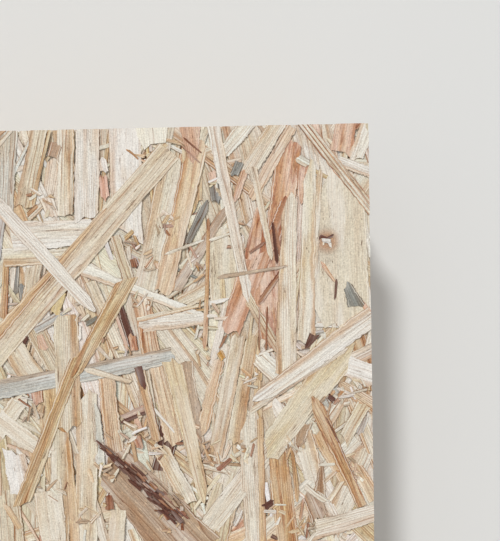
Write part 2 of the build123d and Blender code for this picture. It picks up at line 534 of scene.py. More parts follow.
# The gaps that are left at the corner are filled, some with fines, chips that the flaker broke
NEAR_CORNER = np.array([205.0, 222.0])
FINES_SHARE = 0.45
CORNER_STRANDS = 4000
SHIFT = 0.38


def fill_gaps(from_row, from_column, fines_share, most):
    """Lays strands where the cells from these on are still open, until there are so many strands."""
    open_cells = np.argwhere(~mat.covered[from_row:, from_column:]) + (from_row, from_column)
    for row, column in draws.permutation(open_cells):
        if len(mat.strands) >= most:
            break
        if mat.covered[row, column]:
            continue
        spot = (np.array([column, row]) + 0.5) * mat.CELL - (mat.width / 2, mat.length / 2)
        tone, place, turn, length, widths, ends, thickness, knot = draw_strand(spot, SHIFT)
        if draws.random() < fines_share:
            place = spot
            turn = draws.uniform(-math.pi / 2, math.pi / 2)
            length = draws.uniform(6, 24)
            widths = draws.uniform(0.9, 2.8, 2)
        mat.lay(tone, place, turn, length, widths, ends, thickness, knot)


first_cell = (np.array([mat.length, mat.width]) - NEAR_CORNER[::-1]).astype(int)
fill_gaps(*first_cell, FINES_SHARE, CORNER_STRANDS)

LOOSE_STRANDS = 6000
LEAST_SEEN = 24.0
for _ in range(LOOSE_STRANDS):
    spot = draws.uniform(-0.5, 0.5, 2) * (mat.width, mat.length)
    mat.lay(*draw_strand(spot, 0.0), least_seen=LEAST_SEEN)

MOST_STRANDS = 10700
fill_gaps(0, 0, 0.0, MOST_STRANDS)


class Flake:
    """A flake with square ends, one unit wide and long, with more points across its ends than between.

    Each strand is this flake, cut to its own size: a coarse one far from the corner, and at the
    corner a fine one, with runs enough along it for ragged sides, which bends less and keeps
    nearer to its tone. Its upper faces come last, so that they are what the sheet keeps.
    """

    def __init__(self, runs, ragged, uneven):
        self.runs = runs
        self.ragged = ragged
        self.uneven = uneven
        shape = bmesh.new()
        bmesh.ops.create_grid(shape, x_segments=1, y_segments=runs, size=0.5)
        end_edges = [edge for edge in shape.edges if all(abs(v.co.y) > 0.499 for v in edge.verts)]
        bmesh.ops.subdivide_edges(shape, edges=end_edges, cuts=Mat.END_POINTS - 2)
        raised = bmesh.ops.extrude_face_region(shape, geom=shape.faces[:])["geom"]
        raised_points = [item for item in raised if isinstance(item, bmesh.types.BMVert)]
        bmesh.ops.translate(shape, verts=raised_points, vec=(0, 0, 1))
        bmesh.ops.recalc_face_normals(shape, faces=shape.faces[:])
        shape.verts.index_update()
        self.points = np.array([vertex.co for vertex in shape.verts])
        self.faces = [[vertex.index for vertex in face.verts] for face in shape.faces]
        self.faces.sort(key=lambda face: self.points[face, 2].mean())
        shape.free()


# A band's strands also lie side by side on a flat sheet, through which their finish can be kept as a
# picture of so many pixels. A pixel is so many millimetres across and along the grain, or a little
# more where the strands need it, by one small step at a time. Round each strand lie a margin and its
# sides, both given in pixels, and it takes more room than its width, because its sides waver.
SHEET_PIXELS = 1024
ACROSS_GRAIN = 0.36
ALONG_GRAIN = 2.0
SHEET_MARGIN = 1.6
SIDE_PIXELS = 0.8
WAVER_ROOM = 1.14
COARSER = 1.02

# How far in from its cut a strand's first and last runs reach, as a share of its length
END_RUN = 0.025


def read_along(values, share):
    """Values given at even steps along each strand, read at these shares of its length."""
    at = share.clip(0, 1) * (values.shape[1] - 1)
    low = np.minimum(at.astype(int), values.shape[1] - 2)
    part = at - low
    return np.take_along_axis(values, low, 1) * (1 - part) + np.take_along_axis(values, low + 1, 1) * part


# How strands differ: how far their sides waver and they bow, as shares of their width and length, how
# many millimetres they tilt, and how far apart and how sloped their growth lines are. Then how much
# they vary in mottling, in warmth, greenness and lightness, and in how their growth lines stand out.
WAVER = 0.05
BOW = 0.012
TILT = 0.05
RING_SPACINGS = (0.9, 2.3)
RING_SLOPE = 0.012
MOTTLINGS = (0.5, 1.4)
WARMTH = 0.035
GREENNESS = (0.01, 0.016)
LIGHTNESS = 0.045
LININGS = (0.1, 1.9)


def cut_strands(flake, strands, pixel, on_sheet):
    """Every strand's points, and what its material reads at each, from one flake."""
    count = len(strands)
    tones, middles, turns, lengths, widths, shorts, thicknesses, heights, knots = zip(*strands)
    middles, widths, shorts, heights = map(np.array, (middles, widths, shorts, heights))
    turns, lengths, thicknesses = (np.array(x)[:, None] for x in (turns, lengths, thicknesses))
    side, place, top = flake.points.T
    row = np.rint((place + 0.5) * flake.runs).astype(int)
    half = (side > 0).astype(int)
    at_end = np.abs(place) > 0.499

    # The ends are as they are cut, and the runs between them lie inside the deepest of both cuts
    point = np.rint((side + 0.5) * (Mat.END_POINTS - 1)).astype(int)
    from_end = shorts[:, 0].max(1)[:, None] + END_RUN * lengths
    to_end = lengths - shorts[:, 1].max(1)[:, None] - END_RUN * lengths
    inner = (row - 1) / (flake.runs - 2)
    cut_end = np.where(place < 0, shorts[:, 0, point], lengths - shorts[:, 1, point])
    b = np.where(at_end, cut_end, from_end + (to_end - from_end) * inner) - lengths / 2
    share = b / lengths + 0.5
    wide = widths[:, :1] + (widths[:, 1:] - widths[:, :1]) * share
    waves = draws.uniform(-WAVER, WAVER, (2, count, 5))
    wave = np.where(half, read_along(waves[1], share), read_along(waves[0], share))
    rag = draws.normal(0, flake.ragged, (count, flake.runs + 1, 2))[:, row, half]
    a = (side + wave) * wide + rag * np.minimum(wide / 5, 1)
    bow = draws.normal(0, BOW * flake.uneven, (count, 1)) * lengths
    curved = a + bow * (1 - (2 * share - 1) ** 2)
    tilt = draws.normal(0, TILT, (count, 1)) * side
    z = read_along(heights, share) + np.minimum(tilt, 0) - (1 - top) * thicknesses
    x = middles[:, :1] + curved * np.cos(turns) - b * np.sin(turns)
    y = middles[:, 1:] + curved * np.sin(turns) + b * np.cos(turns)
    spacing = draws.uniform(*RING_SPACINGS, (count, 1))
    slope = draws.normal(0, RING_SLOPE, (count, 1))
    phase = draws.uniform(0, 40, (count, 1))
    ring = (a + b * slope) / spacing + phase
    mottle = np.array([[TONES[tone][2]] for tone in tones]) * draws.uniform(*MOTTLINGS, (count, 1))
    wood = np.array([linear(TONES[tone][0]) + [TONES[tone][1]] for tone in tones])
    warmth = draws.normal(0, WARMTH * flake.uneven, (count, 1)) * (0.4, 0.0, -1.0)
    greenness = draws.normal(GREENNESS[0], GREENNESS[1] * flake.uneven, (count, 1)) * (-0.5, 1.0, -0.5)
    lightness = draws.normal(1, LIGHTNESS * flake.uneven, (count, 1))
    wood[:, :3] *= lightness * (1 + warmth) * (1 + greenness)
    wood[:, 3] *= draws.uniform(*LININGS, count)
    each = len(flake.points)
    rim_out = np.stack([np.sign(place) * at_end, np.sign(side)], 1) * (1 - top)[:, None] * SIDE_PIXELS
    spread = np.stack([b, a], 2) / pixel + rim_out + on_sheet[:, None]
    made = {
        "co": np.stack([x, y, z], 2),
        "grain": np.stack([b + 900 * phase, a + 40 * phase, ring], 2),
        "rim": np.stack([np.broadcast_to(2 * side, a.shape), wide / 2, np.repeat(mottle, each, 1)], 2),
        "wood": np.repeat(wood.clip(0, 1)[:, None], each, 1),
        "knot": np.stack([b, a, 0 * a], 2) - np.array(knots, float)[:, None] * (1, 1, -1),
        "sheet": spread / SHEET_PIXELS,
    }
    return {name: values.reshape(count * each, -1) for name, values in made.items()}


def spread_on_sheet(strands):
    """Each strand's own place on a square sheet, finer across the grain than along it."""
    size = np.array([(length, max(widths)) for _, _, _, length, widths, *_ in strands])
    grow = 1.0
    while True:
        pixel = np.array([ALONG_GRAIN, ACROSS_GRAIN]) * grow
        room = size * (1.0, WAVER_ROOM) / pixel + 2 * SHEET_MARGIN
        spots = np.zeros_like(size)
        x = y = tall = 0.0
        for index in np.argsort(-room[:, 1]):
            if x + room[index, 0] > SHEET_PIXELS:
                x = 0.0
                y += tall
                tall = 0.0
            spots[index] = x, y
            x += room[index, 0]
            tall = max(tall, room[index, 1])
        if y + tall <= SHEET_PIXELS:
            break
        grow *= COARSER
    return pixel, spots + room / 2


def read_field(items, field, kind, each=1):
    """One field of every item of a mesh, as an array with a row for each item that has more than one."""
    values = np.empty(len(items) * each, kind)
    items.foreach_get(field, values)
    return values.reshape(-1, each) if each > 1 else values


draws = np.random.default_rng(11)
BANDS = 12
COARSE_FLAKE = Flake(4, 0.08, 1.0)
FINE_FLAKE = Flake(32, 0.16, 0.3)
CRUMB_LENGTH = 14.0
CRUMB_FLAKE = Flake(4, 0.12, 1.0)
band_width = mat.width / BANDS
strand_bands = []
for band in range(BANDS):
    groups = {COARSE_FLAKE: [], CRUMB_FLAKE: [], FINE_FLAKE: []}
    for strand in mat.strands:
        _, middle, _, length, *_, heights, _ = strand
        at = np.clip((middle[0] + mat.width / 2) // band_width, 0, BANDS - 1)
        by_hand = len(heights) == FINE_STATIONS
        if at == band:
            flake = COARSE_FLAKE if not by_hand else CRUMB_FLAKE if length < CRUMB_LENGTH else FINE_FLAKE
            groups[flake].append(strand)
    pixel, on_sheet = spread_on_sheet([strand for strands in groups.values() for strand in strands])
    parts = []
    faces = []
    done = points = 0
    for flake, strands in groups.items():
        if strands:
            parts.append(cut_strands(flake, strands, pixel, on_sheet[done : done + len(strands)]))
            starts = points + np.arange(len(strands)) * len(flake.points)
            corners = np.concatenate(flake.faces)
            sizes = np.array([len(face) for face in flake.faces])
            faces.append(((starts[:, None] + corners).ravel(), np.tile(sizes, len(strands))))
            done += len(strands)
            points += len(strands) * len(flake.points)
    made = {name: np.concatenate([part[name] for part in parts]) for name in parts[0]}
    corners, sizes = (np.concatenate(arrays) for arrays in zip(*faces))
    mesh = bpy.data.meshes.new(f"face_strands_{band + 1:02}")
    mesh.vertices.add(points)
    placed = made["co"] + (0, 0, top_panel.thickness)
    mesh.vertices.foreach_set("co", placed.astype(np.float32).ravel())
    mesh.loops.add(len(corners))
    mesh.loops.foreach_set("vertex_index", corners.astype(np.int32))
    mesh.polygons.add(len(sizes))
    mesh.polygons.foreach_set("loop_start", (np.cumsum(sizes) - sizes).astype(np.int32))
    mesh.update(calc_edges=True)
    for name, kind, field in (
        ("grain", "FLOAT_VECTOR", "vector"),
        ("rim", "FLOAT_VECTOR", "vector"),
        ("wood", "FLOAT_COLOR", "color"),
        ("knot", "FLOAT_VECTOR", "vector"),
        ("sheet", "FLOAT2", "vector"),
    ):
        mesh.attributes.new(name, kind, "POINT").data.foreach_set(field, made[name].ravel())

    # The saw cuts through whatever crosses the panel's edges
    sawn = bmesh.new()
    sawn.from_mesh(mesh)
    sawn_layer = sawn.faces.layers.int.new("sawn")
    for direction, half in (((1, 0, 0), mat.width / 2), ((0, 1, 0), mat.length / 2)):
        for sign in (-1, 1):
            outwards = Vector(direction) * sign
            cut = bmesh.ops.bisect_plane(
                sawn,
                geom=sawn.verts[:] + sawn.edges[:] + sawn.faces[:],
                plane_co=outwards * half,
                plane_no=outwards,
                clear_outer=True,
            )["geom_cut"]
            edges = [item for item in cut if isinstance(item, bmesh.types.BMEdge)]
            for face in bmesh.ops.holes_fill(sawn, edges=edges, sides=0)["faces"]:
                face[sawn_layer] = 1
    sawn.to_mesh(mesh)
    sawn.free()

    # The sheet becomes the map through which the finish can be kept as pictures. There, a sawn end's
    # lower corners lie a little aside, because a face with no width would take no colour.
    own = read_field(mesh.vertices, "co", np.float32, 3)
    kept = read_field(mesh.attributes["sheet"].data, "vector", np.float32, 2)
    corner_points = read_field(mesh.loops, "vertex_index", np.int32)
    sizes = read_field(mesh.polygons, "loop_total", np.int32)
    is_sawn = read_field(mesh.attributes["sawn"].data, "value", np.int32)
    corner_height = own[corner_points, 2]
    middle_height = np.add.reduceat(corner_height, np.cumsum(sizes) - sizes) / sizes
    lower = np.repeat(is_sawn > 0, sizes) & (corner_height < np.repeat(middle_height, sizes))
    kept = kept[corner_points] + lower[:, None] * SIDE_PIXELS / SHEET_PIXELS
    mesh.uv_layers.new(name="OFBake").uv.foreach_set("vector", kept.ravel())
    for name in ("sheet", "sawn"):
        mesh.attributes.remove(mesh.attributes[name])
    settled = top_panel.settle(own.astype(float))
    mesh.vertices.foreach_set("co", settled.astype(np.float32).ravel())
    mesh.shade_flat()
    mesh.update()
    piece = bpy.data.objects.new(mesh.name, mesh)
    bpy.context.scene.collection.objects.link(piece)
    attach(piece, "root")
    strand_bands.append(piece)

# Pine strand, flaked with the grain, waxed and hot-pressed: pale wood with fine fibres lengthways,
# darker latewood lines a millimetre or two apart, resin streaks and flecks, and a dull, dry surface.


def add_node(owner, kind, *values, **settings):
    """Adds a shader node. Each value is what an input is set to, or the node or socket that feeds it."""
    made = owner.node_tree.nodes.new("ShaderNode" + kind)
    for name, value in settings.items():
        setattr(made, name, value)
    sockets = [socket for socket in made.inputs if socket.enabled]
    for socket, value in zip(sockets, values):
        if isinstance(value, bpy.types.Node):
            value = next(output for output in value.outputs if output.enabled)
        if isinstance(value, bpy.types.NodeSocket):
            owner.node_tree.links.new(value, socket)
        else:
            socket.default_value = value
    return made


pine = bpy.data.materials.new("pressed_pine_strand")
pine.use_nodes = True
wood = add_node(pine, "Attribute", attribute_name="wood")
grain = add_node(pine, "Attribute", attribute_name="grain")
rim = add_node(pine, "Attribute", attribute_name="rim")
knot = add_node(pine, "Attribute", attribute_name="knot")
grain_parts = add_node(pine, "SeparateXYZ", grain)
rim_parts = add_node(pine, "SeparateXYZ", rim)
knot_parts = add_node(pine, "SeparateXYZ", knot)


def along_grain(length, width, detail, roughness=0.5):
    """Noise in a strand, its features so many millimetres long and wide and lying along the grain."""
    scale = (1 / length, 1 / width, 0.0)
    place = add_node(pine, "VectorMath", grain, scale, operation="MULTIPLY")
    return add_node(pine, "TexNoise", place, 1.0, detail, roughness, noise_dimensions="2D")


# A knot's rings take over from the straight growth lines, from over twice its radius inwards
knot_radius = knot_parts.outputs["Z"]
wobble = along_grain(3.0, 3.0, 2.0)
from_knot = add_node(pine, "CombineXYZ", knot_parts.outputs["X"], knot_parts.outputs["Y"], 0.0)
knot_distance = add_node(pine, "VectorMath", from_knot, operation="LENGTH")
knot_distance = add_node(pine, "Math", wobble, 1.1, knot_distance, operation="MULTIPLY_ADD")
reach = add_node(pine, "Math", knot_radius, 2.3, operation="MULTIPLY")
near_knot = add_node(pine, "MapRange", knot_distance, knot_radius, reach, 1.0, 0.0)
has_knot = add_node(pine, "Math", knot_radius, 0.01, operation="GREATER_THAN")
near_knot = add_node(pine, "Math", near_knot, has_knot, operation="MULTIPLY")

# Latewood lines: the ring number rises by one from line to line, and the lines wander a little
wander = along_grain(60.0, 8.0, 2.0)
straight = add_node(pine, "Math", wander, 3.2, grain_parts.outputs["Z"], operation="MULTIPLY_ADD")
rounded = add_node(pine, "Math", knot_distance, 0.85, operation="DIVIDE")
ring = add_node(pine, "Mix", near_knot, straight, rounded)
ring_place = add_node(pine, "Math", ring, operation="FRACT")
latewood = add_node(pine, "Math", ring_place, 4.0, operation="POWER")
fading = add_node(pine, "MapRange", along_grain(35.0, 3.0, 2.0), 0.35, 0.65, 0.15, 1.4)
lining = add_node(pine, "Math", wood.outputs["Alpha"], fading, operation="MULTIPLY")
lining = add_node(pine, "Math", near_knot, 0.5, lining, operation="MULTIPLY_ADD")
lining = add_node(pine, "Math", latewood, lining, operation="MULTIPLY", use_clamp=True)

# Fibres a few tenths of a millimetre across, drawn a little coarser than they are, to show. They
# stand out on the strands whose growth lines do.
fibre = along_grain(14.0, 0.5, 3.0, 0.65)
fibre_light = add_node(pine, "MapRange", fibre, 0.28, 0.72, -0.25, 0.12)
coarseness = add_node(pine, "MapRange", wood.outputs["Alpha"], 0.0, 1.0, 0.5, 1.2)
fibre_light = add_node(pine, "Math", fibre_light, coarseness, 1.0, operation="MULTIPLY_ADD")
# A fine speckle over the wood, partly its grit and partly painted glints where the light would catch waxy
# fibres.
GRIT_PER_METRE = 1 / (0.8 * MM)
place = add_node(pine, "TexCoord").outputs["Object"]
grit_and_glint = add_node(pine, "TexNoise", place, GRIT_PER_METRE, 2.0, 0.6)
grit_and_glint_light = add_node(pine, "MapRange", grit_and_glint, 0.3, 0.7, 0.79, 1.14)
light = add_node(pine, "Math", fibre_light, grit_and_glint_light, operation="MULTIPLY")
fibred = add_node(pine, "VectorMath", wood, light, operation="SCALE")

# Where the wood is richer in resin, paler, lined, torn, crushed or split, from the broad to the fine.
# Heartwood darkens one side of a strand. Along a strand's sides lies a thin darker line, partly resin
# and partly painted shade in the gaps between strands, and on broad strands a painted highlight
# just inside it. What follows the grain differs from strand to strand.
mottle = rim_parts.outputs["Z"]
own = along_grain(260.0, 50.0, 0.0)
cast = along_grain(46.0, 11.0, 2.0)
streak = along_grain(85.0, 3.6, 3.0)
blotch = along_grain(24.0, 6.0, 3.0)
fleck = along_grain(7.0, 0.8, 2.0)
crushed = along_grain(4.0, 0.7, 1.0)
lean = add_node(pine, "MapRange", own, 0.3, 0.7, -2.4, 2.4)
heart = add_node(pine, "Math", rim_parts.outputs["X"], lean, operation="MULTIPLY")
heart = add_node(pine, "Math", cast, 2.4, heart, operation="MULTIPLY_ADD")
vein = add_node(pine, "Math", along_grain(30.0, 3.0, 3.0), 0.5, operation="SUBTRACT")
vein = add_node(pine, "Math", vein, operation="ABSOLUTE")
paling = add_node(pine, "MapRange", mottle, 0.2, 0.9, 0.45, 0.12)
veined = add_node(pine, "MapRange", mottle, 0.72, 1.0, 0.0, 0.75)
split = add_node(pine, "Math", along_grain(50.0, 2.2, 2.0), 0.5, 0.006, operation="COMPARE")
split_place = add_node(pine, "MapRange", blotch, 0.50, 0.56, 0.0, 0.7)
# Painted shade: a thin darker line along a strand's sides, in places, stands partly for resin at the cut
# and partly for the shade that falls in the small gaps between strands.
EDGE_MM = 0.35
off_middle = add_node(pine, "Math", rim_parts.outputs["X"], operation="ABSOLUTE")
inwards = add_node(pine, "Math", 1.0, off_middle, operation="SUBTRACT")
edge_mm = add_node(pine, "Math", inwards, rim_parts.outputs["Y"], operation="MULTIPLY")
edge_mm = add_node(pine, "Math", fleck, -0.5, edge_mm, operation="MULTIPLY_ADD")
edge = add_node(pine, "MapRange", edge_mm, -0.25, EDGE_MM - 0.25, 0.5, 0.0)
edge_shade_place = add_node(pine, "MapRange", blotch, 0.42, 0.58, 0.0, 1.0)
# Painted highlight: just inside that line, on broad strands, a thin pale line where a strand's cut side
# would catch the light.
lip_highlight = add_node(pine, "Math", edge_mm, EDGE_MM, 0.22, operation="COMPARE")
lip_highlight_place = add_node(pine, "MapRange", cast, 0.45, 0.55, 0.0, 0.5)
broad = add_node(pine, "MapRange", rim_parts.outputs["Y"], 1.2, 2.2, 0.0, 1.0)
lip_highlight_place = add_node(pine, "Math", lip_highlight_place, broad, operation="MULTIPLY")
past_knot = add_node(pine, "Math", knot_distance, knot_radius, operation="SUBTRACT")
colour = fibred
for share, span, amount, tint, blend in (
    (cast, (0.50, 0.64, 0.0, 0.7), mottle, "#F4EACE", "MULTIPLY"),
    (cast, (0.46, 0.34, 0.0, 0.8), paling, "#F1EBE3", "MIX"),
    (streak, (0.50, 0.72, 0.0, 1.0), mottle, "#D6AC89", "MULTIPLY"),
    (streak, (0.46, 0.28, 0.0, 0.4), mottle, "#F0E6D8", "MIX"),
    (blotch, (0.52, 0.76, 0.0, 1.0), mottle, "#E1C49E", "MULTIPLY"),
    (heart, (2.0, 2.7, 0.0, 0.6), 1.0, "#DFBB98", "MULTIPLY"),
    (vein, (0.045, 0.0, 0.0, 1.0), veined, "#B4705A", "MULTIPLY"),
    (lining, None, 1.0, "#B4825A", "MULTIPLY"),
    (fleck, (0.71, 0.80, 0.0, 0.7), 1.0, "#8F6648", "MULTIPLY"),
    (crushed, (0.65, 0.77, 0.0, 0.45), 1.0, "#FBF5EA", "OVERLAY"),
    # painted highlight just inside the strands' sides
    (lip_highlight, None, lip_highlight_place, "#FBF4E6", "MIX"),
    (split, None, split_place, "#7A5640", "MULTIPLY"),
    # painted shade along the strands' sides, partly resin
    (edge, None, edge_shade_place, "#80604A", "MULTIPLY"),
    (past_knot, (2.6, -1.4, 0.0, 0.75), has_knot, "#CF9C78", "MULTIPLY"),
):
    if span:
        share = add_node(pine, "MapRange", share, *span)
    share = add_node(pine, "Math", share, amount, operation="MULTIPLY", use_clamp=True)
    tint = (*linear(tint), 1)
    colour = add_node(pine, "Mix", share, colour, tint, data_type="RGBA", blend_type=blend)
FILTER_WIDTH = 0.1
height = add_node(pine, "Math", latewood, -0.3, fibre, operation="MULTIPLY_ADD")
relief = add_node(pine, "Bump", 0.8, 0.25 * MM, FILTER_WIDTH, height)
dullness = add_node(pine, "MapRange", fibre, 0.3, 0.7, 0.74, 0.56)
shader = pine.node_tree.nodes["Principled BSDF"]
shader.inputs["IOR"].default_value = 1.5
shader.inputs["Specular IOR Level"].default_value = 0.35
pine.node_tree.links.new(colour.outputs[2], shader.inputs["Base Color"])
pine.node_tree.links.new(relief.outputs[0], shader.inputs["Normal"])
pine.node_tree.links.new(dullness.outputs[0], shader.inputs["Roughness"])
for piece in strand_bands:
    piece.data.materials.append(pine)

# The six panels' bodies
# A body is one board of pressed strands. The saw leaves its sides a little rough, with small voids
# between the strands and chipped edges. The top one ends just under the strands laid above.
SHEET_WIDTH = 1220.0
SHEET_LENGTH = 2440.0
SIDE_PIECES = 6
PIECE_OF_SIDE = 244
COLUMNS = PIECE_OF_SIDE * SIDE_PIECES

# A side's rows of points, from the underside up: each one's height, and how far in it usually lies.
# The first and the last are on the faces, a little in from the chipped edges.
ROW_HEIGHTS = np.array([0.0, 0.0, 1.1, 3.5, 6.3, 9.0, 11.7, 14.5, 16.9, 18.0, 18.0])
ROW_INSETS = (4.3, 1.1, 0.1, 0.1, 0.1, 0.1, 0.1, 0.1, 0.1, 1.1, 4.3)
ROWS = len(ROW_HEIGHTS)
FACE_RECESS = 2.1

# The body's map: the six pieces of its sides in strips, one over the other, then the two faces
MAP_EDGE = 0.004
STRIP_STEP = 0.062
STRIP_FILL = 0.93
UNDERSIDE_AT = 0.54
UPPER_FACE_AT = 0.85
FACE_LONG = 0.99
FACE_WIDE = 0.30


def round_the_sides(share, width, length, inset):
    """The point so far round a sheet's four sides, from the near right corner anticlockwise."""
    reach = np.array([0, length, length + width, 2 * length + width, 2 * (length + width)])
    half = np.array([width, length]) / 2
    corners = np.array([[1, -1], [1, 1], [-1, 1], [-1, -1], [1, -1]]) * half
    distance = share * reach[-1]
    points = np.stack([np.interp(distance, reach, corners[:, axis]) for axis in (0, 1)], -1)
    return np.clip(points, inset - half, half - inset)


def face_spot(column, row):
    """Where a point of the upper or lower face lies on the body's map."""
    x, y = round_the_sides(column / COLUMNS, SHEET_WIDTH, SHEET_LENGTH, ROW_INSETS[row])
    middle = UPPER_FACE_AT if row > ROWS / 2 else UNDERSIDE_AT
    return 0.5 + FACE_LONG * y / SHEET_LENGTH, middle + FACE_WIDE * x / SHEET_WIDTH


# A band with a column of faces every 5 mm is wrapped round the sheet's four sides, and closed
band = bmesh.new()
bmesh.ops.create_grid(band, x_segments=COLUMNS, y_segments=ROWS - 1, size=0.5)
column_layer = band.verts.layers.int.new("column")
row_layer = band.verts.layers.int.new("row")
board_map = band.loops.layers.uv.new("OFBake")
for vertex in band.verts:
    vertex[column_layer] = round((vertex.co.x + 0.5) * COLUMNS)
    vertex[row_layer] = round((vertex.co.y + 0.5) * (ROWS - 1))
for face in band.faces:
    piece_of_side = min(vertex[column_layer] for vertex in face.verts) // PIECE_OF_SIDE
    on_side = 1 <= min(vertex[row_layer] for vertex in face.verts) < ROWS - 2
    for corner in face.loops:
        column, row = corner.vert[column_layer], corner.vert[row_layer]
        if on_side:
            along_side = column / PIECE_OF_SIDE - piece_of_side
            up_side = piece_of_side + STRIP_FILL * ROW_HEIGHTS[row] / ROW_HEIGHTS[-1]
            across_map = MAP_EDGE + (1 - 2 * MAP_EDGE) * along_side
            corner[board_map].uv = across_map, MAP_EDGE + STRIP_STEP * up_side
        else:
            corner[board_map].uv = face_spot(column, row)
for vertex in band.verts:
    around = 2 * math.pi * vertex[column_layer] / COLUMNS
    vertex.co = math.cos(around), math.sin(around), vertex[row_layer]
bmesh.ops.remove_doubles(band, verts=band.verts[:], dist=1e-4)
caps = bmesh.ops.holes_fill(band, edges=[edge for edge in band.edges if edge.is_boundary], sides=0)
bmesh.ops.recalc_face_normals(band, faces=band.faces[:])
caps = bmesh.ops.triangulate(band, faces=caps["faces"], ngon_method="BEAUTY")
for cap in caps["faces"]:
    for corner in cap.loops:
        corner[board_map].uv = face_spot(corner.vert[column_layer], corner.vert[row_layer])
band_mesh = bpy.data.meshes.new("panel_body")
band.to_mesh(band_mesh)
band.free()
column = read_field(band_mesh.attributes["column"].data, "value", np.int32)
row = read_field(band_mesh.attributes["row"].data, "value", np.int32)
for name in ("column", "row"):
    band_mesh.attributes.remove(band_mesh.attributes[name])

# How rough the saw leaves a side, how often each row has a void and how deep one is, how often an
# edge is chipped and how far, and how far in the face's first points lie, in millimetres
ROUGHNESS = 0.09
VOID_ODDS = np.array([0, 0, 0.002, 0.008, 0.014, 0.016, 0.014, 0.008, 0.002, 0, 0])
VOID_DEPTHS = (0.8, 2.4)
CHIP_ODDS = 0.03
CHIP_DEPTHS = (0.5, 2.0)
ARRIS = 1.1
FACE_INSETS = (4.0, 4.6)
panel_bodies = []
for number in range(1, 7):
    place = PanelPlace(f"panel_{number}")
    rough = draws.normal(0, 1, (COLUMNS, ROWS))
    rough = (rough + 0.6 * np.roll(rough, 1, 0) + 0.6 * np.roll(rough, -1, 0)) / 2.2
    depth = ROUGHNESS + ROUGHNESS * np.abs(rough)
    voids = draws.random((COLUMNS, ROWS)) < VOID_ODDS
    deep = voids * draws.uniform(*VOID_DEPTHS, (COLUMNS, ROWS))
    deep = np.maximum(deep, 0.7 * np.roll(deep, 1, 0) * (draws.random((COLUMNS, ROWS)) < 0.6))
    depth = np.maximum(depth, deep)
    chipped = draws.random((COLUMNS, 2)) < CHIP_ODDS
    chipped |= np.roll(chipped, 1, 0) & (draws.random((COLUMNS, 2)) < 0.5)
    chips = chipped * draws.uniform(*CHIP_DEPTHS, (COLUMNS, 2))
    depth[:, [1, -2]] = ARRIS + 0.35 * np.abs(rough[:, [1, -2]]) + chips
    depth[:, [0, -1]] = draws.uniform(*FACE_INSETS, (COLUMNS, 2))
    height = np.tile(ROW_HEIGHTS, (COLUMNS, 1))
    height[:, 1] += 0.4 * chips[:, 0]
    height[:, -2] -= 0.4 * chips[:, 1]
    height *= place.thickness / ROW_HEIGHTS[-1]
    if number == 6:
        height *= 1 - FACE_RECESS / place.thickness
        depth[:, -2] = 0.05
    at = column % COLUMNS
    inset = depth[at, row]
    outline = round_the_sides(at / COLUMNS, place.width, place.length, inset[:, None])
    points = np.column_stack([outline, height[at, row]])
    mesh = band_mesh.copy()
    mesh.name = f"panel_{number}_body"
    mesh.vertices.foreach_set("co", place.settle(points).astype(np.float32).ravel())
    # How far in each point lies is kept, for the finish's painted shade in the deeper places.
    mesh.attributes.new("depth", "FLOAT", "POINT").data.foreach_set("value", inset)
    shade = np.full(len(inset), 0.98 + 0.035 * ((number * 2) % 5))
    mesh.attributes.new("shade", "FLOAT", "POINT").data.foreach_set("value", shade)
    mesh.shade_flat()
    mesh.update()
    piece = bpy.data.objects.new(mesh.name, mesh)
    bpy.context.scene.collection.objects.link(piece)
    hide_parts(f"panel_{number}")
    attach(piece, "root")
    panel_bodies.append(piece)

# Strand board as the saw leaves it: on the sides, thin strands cut through, some lengthways and
# some across, with dark glue lines and small voids between them, painted dark for the shade inside
# them, and painted shade where the sides lie deeper in; above and below, pressed strands.
board = bpy.data.materials.new("sawn_strand_board")
board.use_nodes = True
place = add_node(board, "TexCoord").outputs["Object"]
in_mm = add_node(board, "VectorMath", place, 1 / MM, operation="SCALE")
parts = add_node(board, "SeparateXYZ", in_mm)

